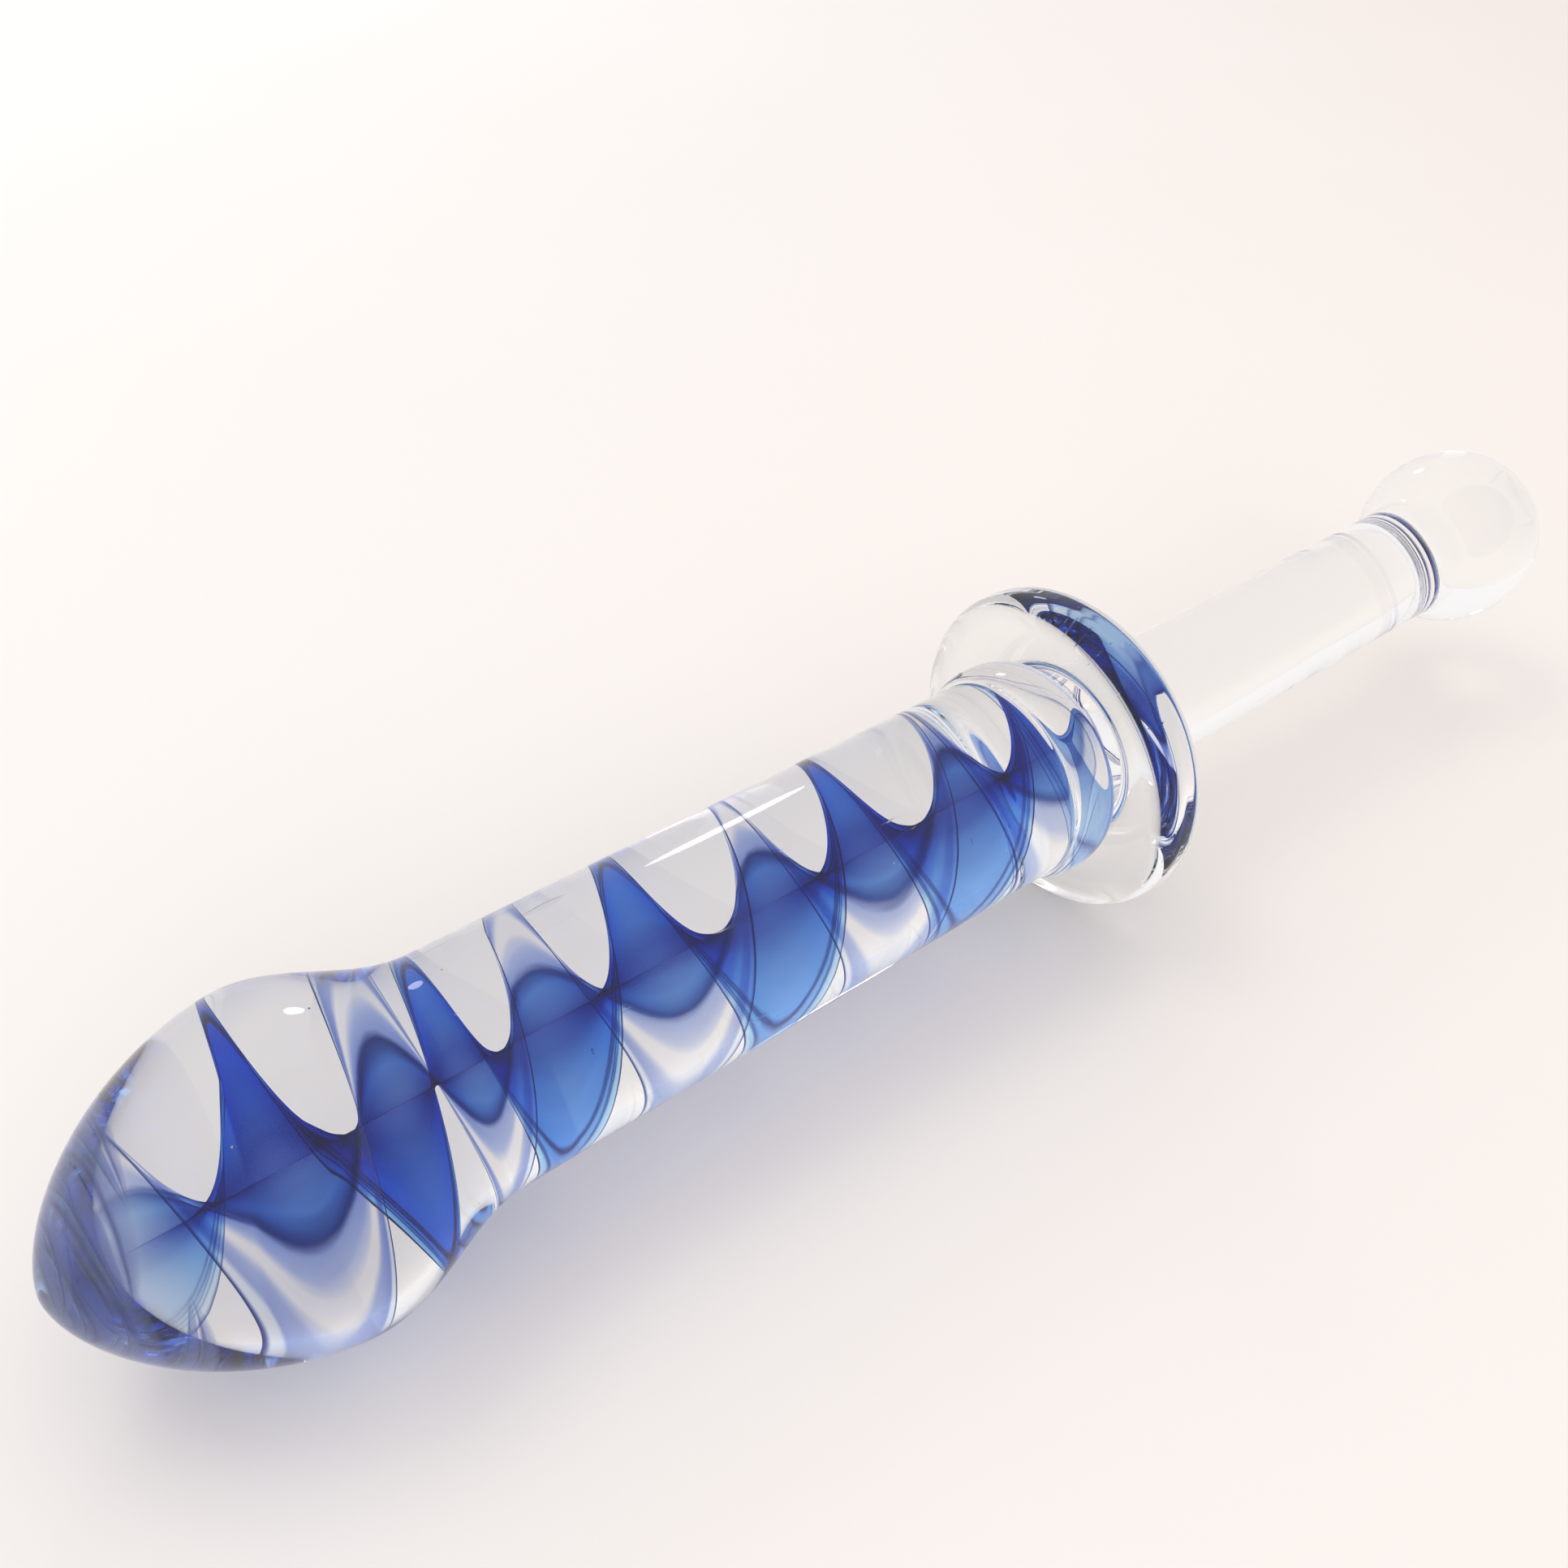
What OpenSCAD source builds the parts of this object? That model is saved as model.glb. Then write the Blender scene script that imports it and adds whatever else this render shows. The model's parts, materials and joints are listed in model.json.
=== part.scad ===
// Solid glass wand, flame-worked from clear rod with a twisted blue ribbon inside.
// It lies as it rests on a table: on the belly of the head and on the rim of the guard,
// with the ball end in the air. +X runs from the head to the ball, +Z is up, and the
// origin is on the table under the middle of the wand.
// The parts are drawn on the wand's own axis first. There x = 0 is the guard's front
// face, the head lies on the negative side and the ball on the positive side.

/* [Shaft] */
// Diameter of the clear rod that makes the shaft
shaft_d = 25; // [22:0.5:28]
// Straight length, from the head's shoulder to the guard
shaft_l = 78.5; // [70:0.5:90]

/* [Head] */
// Largest diameter of the domed head
head_d = 34.4; // [30:0.2:38]
// Length of the nose, from the tip to the widest place
nose_l = 23; // [20:0.5:28]
// Length of the shoulder, from the widest place to the shaft
shoulder_l = 17; // [13:0.5:22]
// Power of the nose curve along the axis: higher is fuller
nose_fullness = 1.7; // [1.6:0.05:2.2]
// Power of the nose curve across the axis: lower is blunter
nose_bluntness = 0.6; // [0.5:0.05:0.7]

/* [Neck ring] */
// Diameter of the ring wound round the shaft against the guard
neck_ring_d = 27.2; // [26.4:0.2:28.4]
// Width of the ring along the shaft
neck_ring_w = 6.4; // [5:0.2:8]
// How deep the shaft's end and its ring are sunk into the guard
neck_seat = 3.5; // [3.4:0.1:4]

/* [Guard] */
// Diameter of the round guard
guard_d = 41.2; // [39:0.2:46]
// Thickness of the guard
guard_t = 7.5; // [7:0.1:9]
// Radius of its fire-polished edges
guard_edge_r = 3.3; // [2:0.1:3.4]

/* [Handle] */
// Diameter of the clear rod that makes the handle
handle_d = 16.2; // [14:0.2:18]
// Length of the handle, from the guard's back to the ball
handle_l = 71.7; // [60:0.1:85]
// Radius of the fillet where the handle is welded to the guard
handle_foot_r = 3; // [1:0.1:3]

/* [Ball] */
// Diameter of the ball at the handle's end
ball_d = 25.4; // [22:0.2:30]

/* [Ribbon] */
// Thickness of the cobalt blue half of the ribbon
cobalt_t = 0.6; // [0.4:0.05:0.8]
// Thickness of the pale half of the ribbon
pale_t = 0.5; // [0.4:0.05:0.8]
// How far the cobalt half reaches from the axis in the shaft
cobalt_reach = 10.6; // [9:0.1:11.6]
// How far the pale half reaches from the axis in the shaft
pale_reach = 11.6; // [9:0.1:11.6]
// Gap from the axis to the inner edge of each half
core_gap = 0.1; // [0.1:0.05:0.6]
// Angle of the pale half at the guard
twist_start = 210; // [0:5:355]
// Angle from the pale half round to the cobalt half
halves_angle = 160; // [120:5:180]
// Length of one turn in the shaft
shaft_pitch = 27.6; // [22:0.2:34]
// Length of one turn in the head, where the glass was pushed together
head_pitch = 16.6; // [14:0.2:22]
// Length of one turn in the nose, where the ribbon was hardly twisted
nose_pitch = 38; // [30:1:60]
// Distance from the guard to where the head's turns begin
head_turns_d = 72; // [60:1:76]
// Distance from the guard to where the nose's turns begin
nose_turns_d = 98; // [94:1:102]
// How far the ribbon runs into the guard with the shaft's end
ribbon_seat = 3; // [0:0.5:3]
// Clear glass between the ribbon's end and the tip
ribbon_tip_gap = 4.5; // [3:0.5:8]

/* [Hidden] */
$fn = 96;

clear = [0.90, 0.94, 0.96, 0.45];
cobalt = [0.10, 0.22, 0.62];
lavender = [0.62, 0.66, 0.86];

shaft_r = shaft_d / 2;
head_r = head_d / 2;
neck_ring_r = neck_ring_d / 2;
guard_r = guard_d / 2;
handle_r = handle_d / 2;
ball_r = ball_d / 2;

shoulder_x = -shaft_l;
wide_x = shoulder_x - shoulder_l;
tip_x = wide_x - nose_l;
handle_end_x = guard_t + handle_l;
ball_x = handle_end_x + sqrt(ball_r * ball_r - handle_r * handle_r);

// Outline of the head: an egg-shaped nose and a shoulder that eases into the shaft
nose_steps = 20;
shoulder_steps = 12;
function nose_r(x) =
    head_r * pow(max(0, 1 - pow((wide_x - x) / nose_l, nose_fullness)), nose_bluntness);
function shoulder_r(x) =
    shaft_r + (head_r - shaft_r) * (1 + cos(180 * (x - wide_x) / shoulder_l)) / 2;
function body_r(x) =
    x < wide_x ? nose_r(x) : x < shoulder_x ? shoulder_r(x) : shaft_r;
head_outline = concat(
    [for (i = [0 : nose_steps])
        let (x = wide_x - nose_l * cos(90 * i / nose_steps)) [nose_r(x), x]],
    [for (i = [1 : shoulder_steps])
        let (x = wide_x + shoulder_l * i / shoulder_steps) [shoulder_r(x), x]]);

// How low the head and the guard's rim reach when the axis is tipped up by an angle,
// and the angle at which both touch the table
function head_low(a) = max([for (p = head_outline) p[0] * cos(a) - p[1] * sin(a)]);
function guard_low(a) =
    (guard_r - guard_edge_r) * cos(a) - guard_edge_r * sin(a) + guard_edge_r;
function rest_angle(low, high, tries) =
    let (middle = (low + high) / 2)
    tries == 0 ? middle
    : head_low(middle) > guard_low(middle) ? rest_angle(low, middle, tries - 1)
    : rest_angle(middle, high, tries - 1);
rest_tilt = rest_angle(0, 10, 30);
rest_height = guard_low(rest_tilt);
front_end = min([for (p = head_outline) p[1] * cos(rest_tilt) - p[0] * sin(rest_tilt)]);
back_end = ball_x * cos(rest_tilt) + ball_r;

// Lays a part of the wand, drawn on its own axis, on the table
module laid() {
    translate([-(front_end + back_end) / 2, 0, rest_height])
        rotate([0, -rest_tilt, 0]) children();
}

// Turns an outline about the wand's axis. Its points are [radius, x].
module lathe() {
    rotate([0, 90, 0]) rotate_extrude() children();
}

// Angle of the pale half at a distance in front of the guard
function twist(d) =
    twist_start + 360 * (min(d, head_turns_d) / shaft_pitch
        + max(0, min(d, nose_turns_d) - head_turns_d) / head_pitch
        + max(0, d - nose_turns_d) / nose_pitch);

// How far out the ribbon may go there: it widens in step with the glass round it, and
// closes like an egg inside the nose
ribbon_tip_d = -tip_x - ribbon_tip_gap;
function spread(d) =
    -d > wide_x ? body_r(-d) / shaft_r
    : head_r / shaft_r * sqrt(1 - pow((d + wide_x) / (ribbon_tip_d + wide_x), 2));

// One half of the ribbon: a thin strip from near the axis outwards, swept along the
// wand and turned as it goes
twist_step = 12;
nose_cells = 14;
nose_fill = 0.985;
strip_cells = 2;
function steps(from, to, count) = [for (i = [1 : count]) from + (to - from) * i / count];
function turn_steps(from, to, pitch) =
    steps(from, to, ceil((to - from) * 360 / pitch / twist_step));
nose_end_d = -wide_x + (ribbon_tip_d + wide_x) * nose_fill;
stations = concat(
    [-ribbon_seat],
    turn_steps(-ribbon_seat, head_turns_d, shaft_pitch),
    turn_steps(head_turns_d, nose_turns_d, head_pitch),
    [for (i = [1 : nose_cells])
        nose_turns_d + (nose_end_d - nose_turns_d) * sin(90 * i / nose_cells)]);

function strip_point(d, angle, r, side) =
    [-d, r * cos(angle) - side * sin(angle), r * sin(angle) + side * cos(angle)];

module ribbon_half(reach, thick, turn) {
    // Each ring goes out along one face of the strip and back along the other
    out = [for (k = [0 : strip_cells]) k / strip_cells];
    ring = concat([for (f = out) [f, -1]], [for (f = out) [1 - f, 1]]);
    size = len(ring);
    rings = [for (d = stations)
        let (angle = twist(d) + turn, edge = reach * spread(d))
        for (corner = ring)
            strip_point(d, angle, core_gap + (edge - core_gap) * corner[0],
                        corner[1] * thick / 2)];
    last = len(stations) - 1;
    // Both faces are split along the same diagonals, so that the strip keeps its thickness
    sides = [for (i = [0 : last - 1], k = [0 : size - 1], half = [0, 1])
        let (a = size * i + k, b = size * i + (k + 1) % size, c = b + size, e = a + size)
        k <= strip_cells ? (half == 0 ? [a, b, c] : [a, c, e])
                         : (half == 0 ? [a, b, e] : [b, c, e])];
    ends = [[for (k = [0 : size - 1]) size - 1 - k],
            [for (k = [0 : size - 1]) size * last + k]];
    polyhedron(points = rings, faces = concat(sides, ends), convexity = 20);
}

module cobalt_half() ribbon_half(cobalt_reach, cobalt_t, halves_angle);
module pale_half() ribbon_half(pale_reach, pale_t, 0);

// Clear glass with the place of the ribbon left open
module round_ribbon() {
    difference() {
        children();
        cobalt_half();
        pale_half();
    }
}

module head_dome() {
    color(clear) laid() round_ribbon() lathe()
        polygon(concat(head_outline, [[0, shoulder_x]]));
}

module shaft() {
    color(clear) laid() round_ribbon() lathe()
        translate([0, shoulder_x]) square([shaft_r, shaft_l + neck_seat]);
}

module cobalt_ribbon() {
    color(cobalt) laid() cobalt_half();
}

module pale_ribbon() {
    color(lavender) laid() pale_half();
}

// A low bead round the shaft's end: a quarter of an ellipse in front, straight behind
bead_steps = 12;
module neck_ring() {
    rise = neck_ring_r - shaft_r;
    color(clear) laid() lathe() polygon(concat(
        [for (i = [0 : bead_steps])
            let (a = 90 * i / bead_steps)
            [shaft_r + rise * sin(a), -neck_ring_w * (1 + cos(a)) / 2]],
        [[neck_ring_r, neck_seat], [shaft_r, neck_seat]]));
}

module guard() {
    color(clear) laid() lathe() union() {
        difference() {
            square([guard_r - guard_edge_r, guard_t]);
            square([neck_ring_r, neck_seat]);
        }
        translate([0, guard_edge_r]) square([guard_r, guard_t - 2 * guard_edge_r]);
        for (x = [guard_edge_r, guard_t - guard_edge_r])
            intersection() {
                translate([guard_r - guard_edge_r, x]) circle(r = guard_edge_r);
                square([guard_r, guard_t]);
            }
    }
}

module handle() {
    color(clear) laid() difference() {
        lathe() union() {
            translate([0, guard_t]) square([handle_r, ball_x - guard_t]);
            difference() {
                translate([handle_r, guard_t]) square(handle_foot_r);
                translate([handle_r + handle_foot_r, guard_t + handle_foot_r])
                    circle(r = handle_foot_r);
            }
        }
        translate([ball_x, 0, 0]) sphere(r = ball_r);
    }
}

module ball() {
    color(clear) laid() translate([ball_x, 0, 0]) sphere(r = ball_r);
}

head_dome();
shaft();
cobalt_ribbon();
pale_ribbon();
neck_ring();
guard();
handle();
ball();
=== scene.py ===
# %% [markdown]
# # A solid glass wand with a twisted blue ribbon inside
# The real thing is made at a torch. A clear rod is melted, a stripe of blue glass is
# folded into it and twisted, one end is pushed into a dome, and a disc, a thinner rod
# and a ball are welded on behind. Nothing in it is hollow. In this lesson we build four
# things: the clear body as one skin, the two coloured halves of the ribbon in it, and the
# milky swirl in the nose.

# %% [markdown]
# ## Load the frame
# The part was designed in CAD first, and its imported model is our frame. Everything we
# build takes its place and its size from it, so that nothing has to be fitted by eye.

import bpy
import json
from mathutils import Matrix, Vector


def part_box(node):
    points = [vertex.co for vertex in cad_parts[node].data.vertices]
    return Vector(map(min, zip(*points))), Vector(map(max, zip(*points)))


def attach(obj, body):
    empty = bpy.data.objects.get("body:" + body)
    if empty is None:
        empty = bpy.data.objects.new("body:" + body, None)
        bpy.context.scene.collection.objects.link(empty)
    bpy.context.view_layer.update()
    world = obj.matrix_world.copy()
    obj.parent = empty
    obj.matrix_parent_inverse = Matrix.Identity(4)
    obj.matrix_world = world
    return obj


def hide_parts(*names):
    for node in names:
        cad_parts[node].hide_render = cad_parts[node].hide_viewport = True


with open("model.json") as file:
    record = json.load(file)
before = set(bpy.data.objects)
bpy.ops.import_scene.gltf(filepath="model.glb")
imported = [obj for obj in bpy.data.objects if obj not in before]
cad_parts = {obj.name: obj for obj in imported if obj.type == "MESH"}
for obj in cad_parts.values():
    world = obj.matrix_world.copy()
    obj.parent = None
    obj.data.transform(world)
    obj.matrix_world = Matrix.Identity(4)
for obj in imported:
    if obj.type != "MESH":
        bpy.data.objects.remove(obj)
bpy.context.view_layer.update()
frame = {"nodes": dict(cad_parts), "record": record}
print("CAD nodes:", sorted(frame["nodes"]))

# %% [markdown]
# ## Tools
# The rest needs only Python's own maths and random numbers, and Blender's vectors and
# noise. We give a millimetre a name, because glass work is measured in millimetres.

# %% Tools
import json
import math
import random

import bpy
from mathutils import Matrix, Vector, noise

MM = 0.001  # Blender works in metres, a glass worker in millimetres
scene = bpy.context.scene

# %% [markdown]
# ## Find the wand's axis
# The wand lies on its head and on the rim of its guard, so its axis is tipped up a
# little. Two mounts in the record give it: one is a point on the axis, in the middle of
# the handle, and the other lies on the guard's front face. We build every piece on a
# straight axis of its own, where x = 0 is the guard's front face and the head is on the
# negative side, and lay it in place with one matrix.

# %% Find the wand's axis
mounts = {mount["name"]: mount for mount in frame["record"]["mounts"]}
along = Vector(mounts["handle_grip"]["axis"]).normalized()
on_axis = Vector(mounts["handle_grip"]["pos_m"])
to_face = Vector(mounts["guard_face"]["pos_m"]) - on_axis
face_middle = on_axis + along * to_face.dot(along)

across = Vector((0, 1, 0))
lay_down = Matrix.Translation(face_middle) @ Matrix(
    (along, across, along.cross(across))).transposed().to_4x4()
print("axis tipped up by", round(math.degrees(math.asin(along.z)), 2), "degrees")


# %% [markdown]
# ## Measure the parts
# A box gives a round part's radius: half its width in Y. For lengths along the tipped
# axis we ask each CAD part how far it reaches that way.

# %% Measure the parts
def radius_of(node):
    low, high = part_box(node)
    return (high.y - low.y) / 2


def reach_of(node):
    upright = lay_down.inverted()
    places = [(upright @ v.co).x for v in frame["nodes"][node].data.vertices]
    return min(places), max(places)


shaft_r = radius_of("shaft")
head_r = radius_of("head_dome")
ring_r = radius_of("neck_ring")
guard_r = radius_of("guard")
ball_r = radius_of("ball")
tip_x, shoulder_x = reach_of("head_dome")
ring_x = reach_of("neck_ring")[0]
guard_t = reach_of("guard")[1]
ball_x = reach_of("ball")[1] - ball_r
print("radii, mm:", [round(r / MM, 2) for r in (head_r, shaft_r, ring_r, guard_r, ball_r)])
print("places along, mm:", [round(x / MM, 2) for x in (tip_x, shoulder_x, ring_x, guard_t, ball_x)])

# %% [markdown]
# ## Camera
# The camera stands in front of the head, to its left, and looks down on the wand along
# its length. A short lens close by makes the head large and the ball small. Depth of
# field stays off.

# %% Camera
LOOK_AZIMUTH = math.radians(38.5)  # from +Y towards +X
LOOK_DOWN = math.radians(35.4)
LOOK_AT = Vector((-0.0169, 0.0173, 0.0185))
CAMERA_DISTANCE = 0.181

look = Vector((
    math.sin(LOOK_AZIMUTH) * math.cos(LOOK_DOWN),
    math.cos(LOOK_AZIMUTH) * math.cos(LOOK_DOWN),
    -math.sin(LOOK_DOWN)))
camera = bpy.data.objects.new("camera", bpy.data.cameras.new("camera"))
camera.data.lens = 34.13
camera.data.sensor_width = 36
camera.data.clip_start = 0.005
camera.location = LOOK_AT - look * CAMERA_DISTANCE
camera.rotation_euler = look.to_track_quat("-Z", "Y").to_euler()
scene.collection.objects.link(camera)
scene.camera = camera
print("camera at", [round(c, 3) for c in camera.location])


# %% [markdown]
# ## Outline of the clear glass
# A shape turned about an axis needs only half of its outline: how far out it is at each
# place along. We write it from the tip to the ball. The nose is a blunt egg. The
# shoulder eases down to the shaft. A low bead of glass is wound round the shaft where
# the guard was welded on. The guard has fire-polished, round edges. The rod swelled a
# little as the ball was pushed on, and the weld between them is a round fillet.

# %% Outline of the head
NOSE_FULLNESS, NOSE_BLUNTNESS = 1.7, 0.6
SHOULDER_L = 17 * MM
wide_x = shoulder_x - SHOULDER_L
nose_l = wide_x - tip_x


def nose_radius(x):
    back = min(1, max(0, (wide_x - x) / nose_l))
    return head_r * (1 - back ** NOSE_FULLNESS) ** NOSE_BLUNTNESS


def shoulder_radius(x):
    swing = math.cos(math.pi * (x - wide_x) / SHOULDER_L)
    return shaft_r + (head_r - shaft_r) * (1 + swing) / 2


def body_radius(x):
    if x < wide_x:
        return nose_radius(x)
    return shoulder_radius(x) if x < shoulder_x else shaft_r


def quarter(centre_x, centre_r, wide, high, start, steps=14):
    """Points on a quarter of an ellipse, from an angle in degrees on for 90 degrees."""
    turns = [math.radians(start - 90 * i / steps) for i in range(steps + 1)]
    return [(centre_x + wide * math.cos(a), centre_r + high * math.sin(a)) for a in turns]


head_outline = []
for i in range(1, 91):
    x = wide_x - nose_l * math.cos(math.radians(i))
    head_outline.append((x, nose_radius(x)))
for i in range(1, 40):
    x = wide_x + SHOULDER_L * i / 40
    head_outline.append((x, shoulder_radius(x)))
print("head outline:", len(head_outline), "points")

# %% [markdown]
# ## Outline of the shaft, the ring and the guard
# The shaft is a straight rod. The ring is two quarters of a low ellipse, and each edge of
# the guard is two quarters of a circle, as flame rounds it. A hollow quarter circle, the
# foot, leads from the guard's back into the handle.

# %% Outline of the shaft, the ring and the guard
EDGE_R = 3.3 * MM
FOOT_R = 3 * MM
HANDLE_R = 8.1 * MM
BEAD_TOE = 0.15 * MM  # what is left of the bead's height where it meets the guard

ring_half = -ring_x / 2
ring_rise = ring_r - shaft_r
rod = [(shoulder_x + (ring_x - shoulder_x) * i / 90, shaft_r) for i in range(90)]
bead = (quarter(-ring_half, shaft_r, ring_half, ring_rise, 180)
        + quarter(-ring_half, shaft_r, ring_half, ring_rise, 90)[1:])
bead[-1] = (0, shaft_r + BEAD_TOE)
disc = (quarter(EDGE_R, guard_r - EDGE_R, EDGE_R, EDGE_R, 180)
        + quarter(guard_t - EDGE_R, guard_r - EDGE_R, EDGE_R, EDGE_R, 90))
foot = quarter(guard_t + FOOT_R, HANDLE_R + FOOT_R, FOOT_R, FOOT_R, 270)[::-1]
print("guard edge", EDGE_R / MM, "mm, ring rises", round(ring_rise / MM, 2), "mm")

# %% [markdown]
# ## Outline of the handle and the ball
# The handle is a straight rod that swells by a quarter of a millimetre before the ball.
# A fillet touches both the rod and the ball. Its centre is one fillet radius away from
# each, so a right triangle gives its place along the axis and the angle where it ends.

# %% Outline of the handle and the ball
WELD_R = 2.6 * MM
SWELL, SWELL_L = 0.25 * MM, 9 * MM

neck_r = HANDLE_R + SWELL
weld_x = ball_x - math.sqrt((ball_r + WELD_R) ** 2 - (neck_r + WELD_R) ** 2)
weld_a = math.asin((neck_r + WELD_R) / (ball_r + WELD_R))
handle = []
for i in range(1, 60):
    x = guard_t + FOOT_R + (weld_x - guard_t - FOOT_R) * i / 60
    near = max(0, 1 - (weld_x - x) / SWELL_L)
    handle.append((x, HANDLE_R + SWELL * near * near))
weld = []
for i in range(13):
    turn = (math.pi / 2 - weld_a) * i / 12
    weld.append((weld_x + WELD_R * math.sin(turn), neck_r + WELD_R - WELD_R * math.cos(turn)))
ball = []
for i in range(1, 61):
    a = weld_a + (math.pi - weld_a) * i / 61
    ball.append((ball_x - ball_r * math.cos(a), ball_r * math.sin(a)))

outline = head_outline + rod + bead + disc + foot + handle + weld + ball
print("whole outline:", len(outline), "points")


# %% [markdown]
# ## Turn the outline into a closed skin
# Glass in Blender is a surface with air on one side and glass on the other. Two glass
# parts that touch would show a mirror where they meet, and welded glass has no such
# face, so the head, shaft, ring, guard, handle and ball are one skin. It closes in one
# point at each end. Torch work is never dead true, so each ring is moved out or in by
# a few hundredths of a millimetre, which makes what is seen through it swim a little.

# %% Turn the outline into a closed skin
AROUND = 192
WAVER = 0.035 * MM


def waver(x, angle):
    where = Vector((x / (9 * MM), 1.3 * math.cos(angle), 1.3 * math.sin(angle)))
    return WAVER * noise.noise(where)


def turned_skin(points, start, end):
    corners, faces = [(start, 0, 0)], []
    for x, r in points:
        for i in range(AROUND):
            angle = 2 * math.pi * i / AROUND
            out = r + waver(x, angle) * min(1, r / (2 * MM))
            corners.append((x, out * math.cos(angle), out * math.sin(angle)))
    corners.append((end, 0, 0))
    last_ring, last = 1 + AROUND * (len(points) - 1), len(corners) - 1
    for i in range(AROUND):
        j = (i + 1) % AROUND
        faces.append((0, 1 + j, 1 + i))
        faces.append((last, last_ring + i, last_ring + j))
        for a in range(1, last_ring, AROUND):
            faces.append((a + i, a + j, a + AROUND + j, a + AROUND + i))
    return corners, faces


skin_corners, skin_faces = turned_skin(outline, tip_x, ball_x + ball_r)
print("skin:", len(skin_faces), "faces")


# %% [markdown]
# ## Bubbles
# A little air is always trapped when hot glass is folded. A bubble is a hole in the
# glass, so its faces look inwards, into the air. We add a few to the same skin, with
# the random numbers seeded so that they fall in the same places each time.

# %% Bubbles
BUBBLES = 16
bubble_luck = random.Random(11)


def add_bubble(corners, faces, middle, radius, rows=6, columns=10):
    start = len(corners)
    corners.append((middle[0] - radius, middle[1], middle[2]))
    for i in range(1, rows):
        a = math.pi * i / rows
        for j in range(columns):
            b = 2 * math.pi * j / columns
            corners.append((middle[0] - radius * math.cos(a),
                            middle[1] + radius * math.sin(a) * math.cos(b),
                            middle[2] + radius * math.sin(a) * math.sin(b)))
    corners.append((middle[0] + radius, middle[1], middle[2]))
    end, last_row = len(corners) - 1, start + 1 + columns * (rows - 2)
    for i in range(columns):
        j = (i + 1) % columns
        faces.append((start, start + 1 + i, start + 1 + j))
        faces.append((end, last_row + j, last_row + i))
        for a in range(start + 1, last_row, columns):
            faces.append((a + i, a + columns + i, a + columns + j, a + j))


for _ in range(BUBBLES):
    x = bubble_luck.uniform(tip_x * 0.93, -8 * MM)
    angle = bubble_luck.uniform(0, 2 * math.pi)
    r = body_radius(x) * bubble_luck.uniform(0.93, 0.97) - 0.3 * MM
    size = bubble_luck.uniform(0.07, 0.17) * MM
    add_bubble(skin_corners, skin_faces, (x, r * math.cos(angle), r * math.sin(angle)), size)
print("bubbles:", BUBBLES)


# %% [markdown]
# ## Make a mesh on the wand's axis
# Every piece is a list of corners and a list of faces on the straight axis. This helper
# turns them into a Blender object, lays it on the table and shades it smooth. The first
# one to use it is the clear body.

# %% Make a mesh on the wand's axis
def laid_mesh(name, corners, faces):
    mesh = bpy.data.meshes.new(name)
    mesh.from_pydata(corners, [], faces)
    mesh.transform(lay_down)
    mesh.polygons.foreach_set("use_smooth", [True] * len(mesh.polygons))
    mesh.update()
    piece = bpy.data.objects.new(name, mesh)
    scene.collection.objects.link(piece)
    return piece


glass_body = laid_mesh("clear_glass_body", skin_corners, skin_faces)
print(glass_body.name, len(glass_body.data.vertices), "corners")


# %% [markdown]
# ## How the ribbon runs
# The ribbon is one flat band across the rod. One half of it is cobalt blue and the other
# is a pale lavender, because the two were striped on as separate layers. The rod was
# twisted evenly, the head was then pushed together, which packed its turns, and the
# nose was melted last and hardly turned. So the turns have their own length in each of
# these stretches. Inside the guard they are short, because the hot end was turned as it
# was pressed on. In the nose the band closes like an egg, inside the glass.

# %% How the ribbon runs
PALE_START = math.radians(210)
HALVES_ANGLE = math.radians(160)
TURN_LENGTHS = [(0, 27.6), (72, 18.0), (82, 16.0), (99, 36.0)]  # from where, mm a turn
BAND_START, BAND_END = -3 * MM, 113 * MM
WELD_TURN_LENGTH = 8.0  # mm a turn inside the guard, where the hot end was pressed on


def twist(d):
    """The pale half's angle at a distance in front of the guard."""
    turns = min(0, d / MM) / WELD_TURN_LENGTH
    for i, (start, length) in enumerate(TURN_LENGTHS):
        end = TURN_LENGTHS[i + 1][0] if i + 1 < len(TURN_LENGTHS) else 1000
        turns += max(0, min(d / MM, end) - start) / length
    return PALE_START + 2 * math.pi * turns


def spread(d):
    """How far out the ribbon may go, as a share of what it has in the shaft."""
    if -d > wide_x:
        return body_radius(-d) / shaft_r
    into_nose = min(1, (d + wide_x) / (BAND_END + wide_x))
    return head_r / shaft_r * math.sqrt(1 - into_nose ** 1.8)


print("turns in all:", round((twist(BAND_END) - twist(0)) / 2 / math.pi, 2))


# %% [markdown]
# ## Sweep one half of the ribbon
# Each half is a thin closed blade, thickest in the middle of its width. It starts at the
# axis and goes out to its own reach, and we turn it as we sweep it along. Its edge is a
# little uneven, as melted glass is. We store three numbers at each corner for the
# material to read: how far out the corner is, how many turns along, and how much dye is
# left there.

# %% Sweep one half of the ribbon
STATIONS, CELLS = 900, 22
NOSE_THINS_AT, NOSE_THINS_OVER, NOSE_LOSS = 98 * MM, 12 * MM, 0.85
WELD_THINS_OVER, WELD_LOSS = 2.5 * MM, 0.6


def dye_left(d):
    """How much dye is left where the glass was melted out thin: in the nose and the weld."""
    in_nose = min(1, max(0, (d - NOSE_THINS_AT) / NOSE_THINS_OVER))
    in_weld = min(1, max(0, (WELD_THINS_OVER - d) / WELD_THINS_OVER))
    return 1 - NOSE_LOSS * in_nose - WELD_LOSS * in_weld


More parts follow.
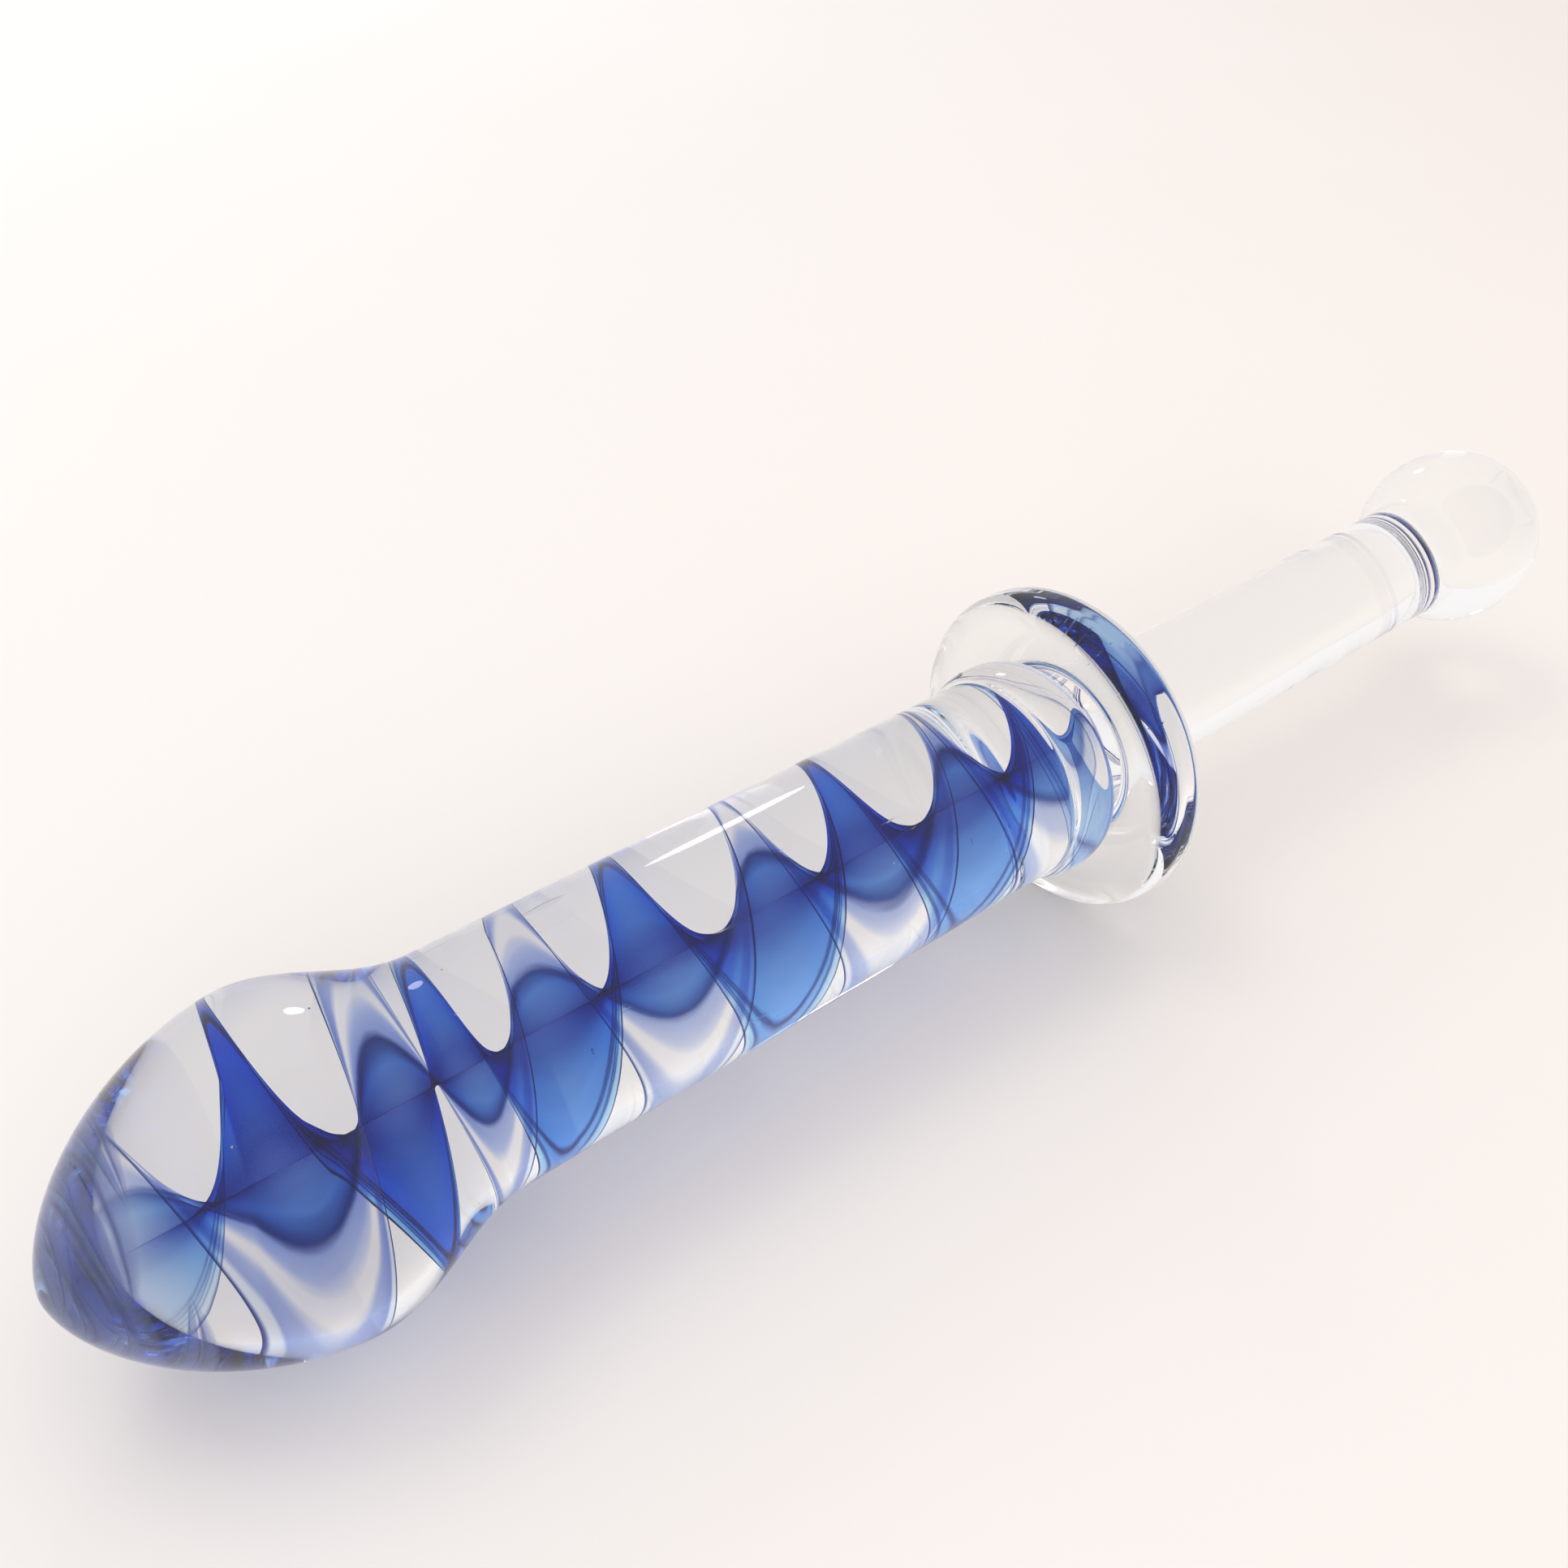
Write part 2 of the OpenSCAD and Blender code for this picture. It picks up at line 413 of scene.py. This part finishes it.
def ribbon_blade(name, reach, thick, turn, unevenness):
    corners, outs, alongs, dyes = [], [], [], []
    for i in range(STATIONS + 1):
        d = BAND_START + (BAND_END - 0.05 * MM - BAND_START) * i / STATIONS
        angle = twist(d) + turn
        ragged = unevenness * (noise.noise(Vector((angle * 0.9, turn, 0.5)))
                               + 0.3 * noise.noise(Vector((angle * 11, turn, 3.5))))
        edge = max(0.06 * MM, reach * (1 + ragged) * spread(d))
        for side in (-1, 1):
            for k in range(CELLS + 1):
                out = k / CELLS if side < 0 else 1 - k / CELLS
                r = edge * out
                body = min(1, 0.12 + 6 * out) * min(1, 0.25 + 9 * (1 - out))
                half = side * thick / 2 * body
                corners.append((-d, r * math.cos(angle) - half * math.sin(angle),
                                r * math.sin(angle) + half * math.cos(angle)))
                outs.append(out)
                alongs.append(angle / 2 / math.pi)
                dyes.append(dye_left(d))
    size = 2 * (CELLS + 1)
    faces = [(a + k, a + size + k, a + size + (k + 1) % size, a + (k + 1) % size)
             for a in range(0, size * STATIONS, size) for k in range(size)]
    for a, order in ((0, -1), (size * STATIONS, 1)):
        for k in range(CELLS):
            faces.append((a + k, a + size - 1 - k, a + size - 2 - k, a + k + 1)[::order])
    piece = laid_mesh(name, corners, faces)
    piece.data.set_sharp_from_angle(angle=math.radians(40))
    for label, values in (("out", outs), ("turns", alongs), ("dye", dyes)):
        piece.data.attributes.new(label, "FLOAT", "POINT").data.foreach_set("value", values)
    return piece


cobalt_blade = ribbon_blade("cobalt_blade", 10.4 * MM, 0.5 * MM, HALVES_ANGLE, 0.03)
pale_blade = ribbon_blade("pale_blade", 11.5 * MM, 0.4 * MM, 0, 0.01)
print("blades:", len(cobalt_blade.data.polygons) + len(pale_blade.data.polygons), "faces")


# %% [markdown]
# ## The swirl in the nose
# The nose was closed last. The spare end of the ribbon was wound up there, which left a
# swirl of milky veils close under the surface. Each veil is a thin closed band that
# winds round the nose like a line of latitude and creeps towards the tip. It narrows to
# nothing at both ends, and its dye fades out towards both of its sides, so that it has
# no hard edge.

# %% The swirl in the nose
VEILS, VEIL_STEPS, VEIL_CELLS = 7, 90, 20
VEIL_T, VEIL_TIP_GAP = 0.08 * MM, 0.5 * MM
swirl_luck = random.Random(21)


def add_veil(corners, faces, outs, turns, dyes):
    start_d = swirl_luck.uniform(107, 114) * MM
    end_d = min(start_d + swirl_luck.uniform(1, 5) * MM, -tip_x - 1.4 * MM)
    start_angle = swirl_luck.uniform(0, 2 * math.pi)
    sweep = math.radians(swirl_luck.uniform(130, 280))
    depth = swirl_luck.uniform(0.60, 0.90)
    wide = swirl_luck.uniform(3.5, 7.0) * MM
    first, size = len(corners), 2 * (VEIL_CELLS + 1)
    for i in range(VEIL_STEPS + 1):
        share = i / VEIL_STEPS
        angle = start_angle + sweep * share
        middle = start_d + (end_d - start_d) * share
        half = max(0.01 * MM, wide / 2 * math.sin(math.pi * share) ** 0.7)
        half = min(half, -tip_x - VEIL_TIP_GAP - middle)
        for k in range(size):
            cell = k if k <= VEIL_CELLS else size - 1 - k
            out = cell / VEIL_CELLS
            d = middle + half * (2 * out - 1)
            r = body_radius(-d) * depth + (0 if k <= VEIL_CELLS else VEIL_T)
            corners.append((-d, r * math.cos(angle), r * math.sin(angle)))
            outs.append(out)
            turns.append(start_angle + share * 2)
            dyes.append(math.sin(math.pi * out) ** 0.5 * min(1, 3 * math.sin(math.pi * share)))
    for a in range(first, len(corners) - size, size):
        faces += [(a + k, a + size + k, a + size + (k + 1) % size, a + (k + 1) % size)
                  for k in range(size)]
    last = len(corners) - size
    for k in range(VEIL_CELLS):
        faces.append((first + k, first + k + 1, first + size - 2 - k, first + size - 1 - k))
        faces.append((last + k, last + size - 1 - k, last + size - 2 - k, last + k + 1))


swirl = [[], [], [], [], []]
for _ in range(VEILS):
    add_veil(*swirl)
nose_swirl = laid_mesh("nose_swirl", swirl[0], swirl[1])
nose_swirl.data.set_sharp_from_angle(angle=math.radians(40))
for label, values in zip(("out", "turns", "dye"), swirl[2:]):
    nose_swirl.data.attributes.new(label, "FLOAT", "POINT").data.foreach_set("value", values)
print("veils:", VEILS)


# %% [markdown]
# ## Node helpers
# A material is a network of nodes. Adding a node by hand takes a line for each setting
# and each link, so these helpers add one, set it and wire it in a single call.

# %% Node helpers
def new_material(name):
    material = bpy.data.materials.new(name)
    material.use_nodes = True
    return material, material.node_tree


def add_node(tree, kind, settings=None, **inputs):
    """Adds a node. Values for its inputs are given by name, with _ for a space."""
    node = tree.nodes.new(kind)
    for key, value in (settings or {}).items():
        setattr(node, key, value)
    for key, value in inputs.items():
        socket = node.inputs[int(key[1:])] if key[1:].isdigit() else node.inputs[
            key.replace("_", " ")]
        if isinstance(value, bpy.types.NodeSocket):
            tree.links.new(value, socket)
        else:
            socket.default_value = value
    return node


def ramp(tree, factor, stops):
    node = add_node(tree, "ShaderNodeValToRGB", Fac=factor)
    while len(node.color_ramp.elements) > 1:
        node.color_ramp.elements.remove(node.color_ramp.elements[0])
    for i, (place, colour) in enumerate(stops):
        stop = node.color_ramp.elements[0] if i == 0 else node.color_ramp.elements.new(place)
        stop.position = place
        stop.color = (*colour, 1)
    return node


def maths(tree, operation, *values):
    return add_node(tree, "ShaderNodeMath", {"operation": operation},
                    **{f"i{i}": value for i, value in enumerate(values)}).outputs[0]


print("helpers ready")

# %% [markdown]
# ## Clear glass
# Borosilicate glass bends light by 1.474 and has no colour of its own. Most of its
# surface is fire-polished, so it is as smooth as a liquid. What gives a used piece away
# is small: handling smudges that are a touch rougher, and hair scratches along the
# shaft. Both come from noise on the object's own coordinates.

# %% Clear glass
clear_glass, tree = new_material("clear_glass")
shader = tree.nodes["Principled BSDF"]
shader.inputs["Base Color"].default_value = (0.985, 0.995, 0.99, 1)
shader.inputs["Transmission Weight"].default_value = 1
shader.inputs["IOR"].default_value = 1.474

place = add_node(tree, "ShaderNodeTexCoord").outputs["Object"]
smudge = add_node(tree, "ShaderNodeTexNoise", Vector=place, Scale=70.0, Detail=4.0)
hair_map = add_node(tree, "ShaderNodeMapping", Vector=place,
                    Rotation=(0.25, -0.12, 0.31), Scale=(55.0, 2600.0, 2600.0))
hair = add_node(tree, "ShaderNodeTexNoise", Vector=hair_map.outputs[0],
                Scale=1.0, Detail=1.0, Roughness=0.3)
hair_line = add_node(tree, "ShaderNodeMapRange", Value=hair.outputs[0],
                     From_Min=0.715, From_Max=0.75)
patch = add_node(tree, "ShaderNodeTexNoise", Vector=place, Scale=38.0, Detail=1.0)
patch_edge = add_node(tree, "ShaderNodeMapRange", Value=patch.outputs[0],
                      From_Min=0.52, From_Max=0.62)
scratch = maths(tree, "MULTIPLY", hair_line.outputs[0], patch_edge.outputs[0])
film = add_node(tree, "ShaderNodeMapRange", Value=smudge.outputs[0],
                From_Min=0.55, From_Max=0.85, To_Min=0.0, To_Max=0.035)
tree.links.new(maths(tree, "MULTIPLY_ADD", scratch, 0.2, film.outputs[0]),
               shader.inputs["Roughness"])
scored = add_node(tree, "ShaderNodeBump", Height=scratch, Strength=0.15, Distance=0.00002)
tree.links.new(scored.outputs[0], shader.inputs["Normal"])
glass_body.data.materials.append(clear_glass)
print("clear glass: index", shader.inputs["IOR"].default_value)


# %% [markdown]
# ## Blue glass in clear glass
# The ribbon is glass too, melted into glass of the same kind, so light passes into it
# without bending, and only takes its colour. A transparent shader does exactly that,
# and a Principled one would draw a bright skin round the blade. Light that crosses the
# blade at a slant runs through more colour, so we raise the tint to a higher power
# there. Each blade has two faces, and each takes half of it. The colour itself changes
# outwards from the axis, in threads that wander as they follow the turns. The dye is
# also a little milky: a share of the light is scattered in a paler shade of the same
# colour, most where the tint is deepest.

# %% Blue glass in clear glass
GRAZING = 1.22  # above 1, so that the tint stays finite where light grazes the blade
MILK_SHADE = 0.75  # below 1, so that the milk is paler than the dye
THREADS = (6, 2.2, 1)  # threads outwards, and along each turn


def dyed_glass(name, stops, strength, wander, milk):
    material, tree = new_material(name)
    tree.nodes.remove(tree.nodes["Principled BSDF"])
    out = add_node(tree, "ShaderNodeAttribute", {"attribute_name": "out"}).outputs["Fac"]
    turns = add_node(tree, "ShaderNodeAttribute", {"attribute_name": "turns"}).outputs["Fac"]
    flat = add_node(tree, "ShaderNodeCombineXYZ", X=out, Y=turns)
    threads = add_node(tree, "ShaderNodeMapping", Vector=flat.outputs[0], Scale=THREADS)
    drift = add_node(tree, "ShaderNodeTexNoise", Vector=threads.outputs[0],
                     Scale=1.0, Detail=3.0)
    moved = maths(tree, "ADD", out, maths(
        tree, "MULTIPLY_ADD", drift.outputs[0], 2 * wander, -wander))
    tint = ramp(tree, moved, stops).outputs[0]
    facing = add_node(tree, "ShaderNodeLayerWeight", Blend=0.5).outputs["Facing"]
    dye = add_node(tree, "ShaderNodeAttribute", {"attribute_name": "dye"}).outputs["Fac"]
    path = maths(tree, "DIVIDE", maths(tree, "MULTIPLY", dye, strength / 2),
                 maths(tree, "SUBTRACT", GRAZING, facing))
    slanted = add_node(tree, "ShaderNodeGamma", Color=tint, Gamma=path)
    clear = add_node(tree, "ShaderNodeBsdfTransparent", Color=slanted.outputs[0])
    dyed = maths(tree, "SUBTRACT", 1.0, add_node(
        tree, "ShaderNodeRGBToBW", Color=tint).outputs[0])
    passed = maths(tree, "POWER", 1 - milk, maths(tree, "MULTIPLY", path, dyed))
    cloudy = maths(tree, "SUBTRACT", 1.0, passed)
    milky = add_node(tree, "ShaderNodeGamma", Color=tint, Gamma=MILK_SHADE).outputs[0]
    front = add_node(tree, "ShaderNodeBsdfDiffuse", Color=milky)
    back = add_node(tree, "ShaderNodeBsdfTranslucent", Color=milky)
    haze = add_node(tree, "ShaderNodeMixShader", Fac=0.5, i1=front.outputs[0],
                    i2=back.outputs[0])
    glass = add_node(tree, "ShaderNodeMixShader", Fac=cloudy, i1=clear.outputs[0],
                     i2=haze.outputs[0])
    tree.links.new(glass.outputs[0], tree.nodes["Material Output"].inputs["Surface"])
    return material


# %% [markdown]
# ## The three dyes
# Each list runs from the axis to the edge. The cobalt half is dark at the axis, clears
# outwards and has two dark threads and a dark rim. The pale half goes from blue to
# lavender and has a milky white band in it. Just inside its dark rim it has a painted
# highlight: a pale line that stands in for a glint along the blade's edge. The swirl
# repeats the pale half's shades.

# %% The three dyes
cobalt_stops = [
    (0.00, (0.03, 0.07, 0.42)), (0.16, (0.03, 0.09, 0.47)), (0.32, (0.08, 0.23, 0.70)),
    (0.55, (0.15, 0.37, 0.86)), (0.70, (0.17, 0.40, 0.87)), (0.735, (0.02, 0.04, 0.25)),
    (0.77, (0.22, 0.46, 0.88)), (0.825, (0.25, 0.50, 0.90)), (0.85, (0.03, 0.07, 0.32)),
    (0.875, (0.45, 0.69, 0.96)), (0.965, (0.68, 0.86, 0.99)), (0.985, (0.08, 0.13, 0.42)),
    (1.00, (0.02, 0.03, 0.20))]
# pale_stops: the pale band from 0.89 to 0.95 is a painted highlight, a glint line just inside the
# dark rim
pale_stops = [
    (0.00, (0.03, 0.07, 0.42)), (0.20, (0.09, 0.24, 0.70)), (0.315, (0.03, 0.07, 0.34)),
    (0.37, (0.44, 0.54, 0.86)), (0.47, (0.62, 0.70, 0.93)), (0.55, (0.96, 0.96, 0.98)),
    (0.65, (0.97, 0.97, 0.98)), (0.72, (0.62, 0.69, 0.91)), (0.85, (0.55, 0.63, 0.89)),
    (0.89, (0.88, 0.92, 0.98)), (0.95, (0.90, 0.94, 0.98)), (0.975, (0.26, 0.32, 0.64)),
    (1.00, (0.05, 0.08, 0.32))]
cobalt_glass = dyed_glass("cobalt_glass", cobalt_stops, 1.0, 0.06, 0.03)
pale_glass = dyed_glass("pale_glass", pale_stops, 1.0, 0.08, 0.14)
cobalt_blade.data.materials.append(cobalt_glass)
pale_blade.data.materials.append(pale_glass)
swirl_stops = [
    (0.00, (0.70, 0.76, 0.93)), (0.22, (0.50, 0.57, 0.86)), (0.30, (0.22, 0.26, 0.54)),
    (0.36, (0.62, 0.68, 0.90)), (0.41, (0.97, 0.98, 0.99)), (0.45, (0.55, 0.62, 0.88)),
    (0.62, (0.46, 0.55, 0.86)), (0.67, (0.22, 0.28, 0.57)), (0.72, (0.60, 0.80, 0.84)),
    (0.80, (0.94, 0.96, 0.98)), (1.00, (0.66, 0.74, 0.92))]
swirl_glass = dyed_glass("swirl_glass", swirl_stops, 1.0, 0.05, 0.80)
nose_swirl.data.materials.append(swirl_glass)
print("dyed glass:", cobalt_glass.name, pale_glass.name, swirl_glass.name)

# %% [markdown]
# ## Table
# Clear glass has no look of its own: it shows what is round it. The wand lies on a
# pale, warm-white mottled sheet in a bright room. Its colour is also painted darker and
# warmer towards the right and the front: painted shade where the light falls off. A large
# soft light hangs above it, and a soft card stands by the camera and fills the shadow.
# Neither is mirrored in the glass, where its outline would look like a sticker. A small
# round lamp is, and gives the few bright glints. The room is a little darker behind the
# camera, for the grey edges.

# %% Table
table_mesh = bpy.data.meshes.new("table")
TABLE_HALF = 3.0
table_mesh.from_pydata([(-TABLE_HALF, -TABLE_HALF, 0), (TABLE_HALF, -TABLE_HALF, 0),
                        (TABLE_HALF, TABLE_HALF, 0), (-TABLE_HALF, TABLE_HALF, 0)],
                       [], [(0, 1, 2, 3)])
table = bpy.data.objects.new("table", table_mesh)
scene.collection.objects.link(table)
paper, tree = new_material("pale_paper")
shader = tree.nodes["Principled BSDF"]
place = add_node(tree, "ShaderNodeTexCoord").outputs["Object"]
mottle = add_node(tree, "ShaderNodeTexNoise", Vector=place, Scale=7.0, Detail=5.0)
# painted shade: the sheet turns darker and warmer towards the right and front, where the light
# falls off; the mottle is the paper's own tone
painted_falloff_slope = add_node(tree, "ShaderNodeVectorMath", {"operation": "DOT_PRODUCT"},
                    i0=place, i1=(0.9, -1.1, 0.0)).outputs["Value"]
mottle_and_painted_falloff = maths(tree, "MULTIPLY_ADD", mottle.outputs[0], 0.12,
               maths(tree, "ADD", painted_falloff_slope, 0.55))
sheet = ramp(tree, mottle_and_painted_falloff, [(0.0, (0.96, 0.95, 0.93)), (0.45, (0.90, 0.87, 0.84)),
                            (1.0, (0.86, 0.80, 0.76))])
tree.links.new(sheet.outputs[0], shader.inputs["Base Color"])
shader.inputs["Roughness"].default_value = 0.9
shader.inputs["Specular IOR Level"].default_value = 0.2
table_mesh.materials.append(paper)
print("table:", 2 * TABLE_HALF, "m wide")

# %% [markdown]
# ## Light
# Three area lights do the lighting. Each is a flat panel that is put somewhere and turned
# towards the wand. Making one takes the same steps each time, so we write them once.

# %% Light
def area_light(name, wide, high, watts, location, aim_at):
    panel = bpy.data.lights.new(name, "AREA")
    panel.shape = "RECTANGLE"
    panel.size, panel.size_y = wide, high
    panel.energy = watts
    light = bpy.data.objects.new(name, panel)
    light.location = location
    aim = Vector(aim_at) - light.location
    light.rotation_euler = aim.to_track_quat("-Z", "Y").to_euler()
    scene.collection.objects.link(light)
    return light


softbox = area_light("softbox", 1.1, 0.8, 5.0, (-0.45, 0.75, 2.0), (0, 0.05, 0))
softbox.data.color = (1.0, 0.97, 0.85)
softbox.visible_glossy = False

card = area_light("card", 0.5, 0.4, 1.3, (-0.35, -0.75, 0.45), (0, 0, 0))
card.visible_glossy = card.visible_transmission = False

TOWARDS_LAMP = Vector((0.41, 0.743, 0.53)).normalized()
lamp = area_light("lamp", 0.26, 0.26, 0.9, TOWARDS_LAMP * 2.0, (0, 0, 0))
lamp.data.shape = "DISK"
print("lights:", [(light.name, round(light.data.energy, 2)) for light in (softbox, card, lamp)])

# %% [markdown]
# ## The room
# The room itself gives most of the light. A ramp makes it brightest towards the window,
# behind the wand and above it, and a little darker behind the camera.

# %% The room
room = bpy.data.worlds.new("room")
scene.world = room
room.use_nodes = True
tree = room.node_tree
ways = add_node(tree, "ShaderNodeTexCoord").outputs["Generated"]
towards_window = add_node(tree, "ShaderNodeVectorMath", {"operation": "DOT_PRODUCT"},
                          i0=ways, i1=(0.15, 0.75, 0.64))
brightness = ramp(tree, maths(tree, "MULTIPLY_ADD", towards_window.outputs["Value"], 0.5, 0.5),
                  [(0.0, (0.74, 0.73, 0.75)), (0.35, (0.91, 0.885, 0.90)),
                   (0.6, (0.96, 0.935, 0.95)), (1.0, (1.0, 0.98, 0.98))])
tree.links.new(brightness.outputs[0], tree.nodes["Background"].inputs["Color"])
tree.nodes["Background"].inputs["Strength"].default_value = 0.98
print("room:", tree.nodes["Background"].inputs["Strength"].default_value)

# %% [markdown]
# ## Let the light find its way out
# A ray inside solid glass bounces many times, and so does a mirrored one, before it
# gets out. With few bounces Blender gives up and leaves the place black, so we allow
# many. The plain view keeps the whites white.

# %% Bounces and view
scene.cycles.max_bounces = 32
scene.cycles.transmission_bounces = 32
scene.cycles.glossy_bounces = 32
scene.cycles.diffuse_bounces = 4
scene.cycles.transparent_max_bounces = 64
scene.view_settings.view_transform = "Standard"
print("bounces:", scene.cycles.max_bounces)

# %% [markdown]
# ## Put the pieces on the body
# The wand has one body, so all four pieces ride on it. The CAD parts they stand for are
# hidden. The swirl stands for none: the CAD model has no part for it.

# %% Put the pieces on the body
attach(glass_body, "root")
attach(cobalt_blade, "root")
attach(pale_blade, "root")
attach(nose_swirl, "root")
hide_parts("head_dome", "shaft", "neck_ring", "guard", "handle", "ball")
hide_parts("cobalt_ribbon")
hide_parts("pale_ribbon")
print("four pieces ride on root")
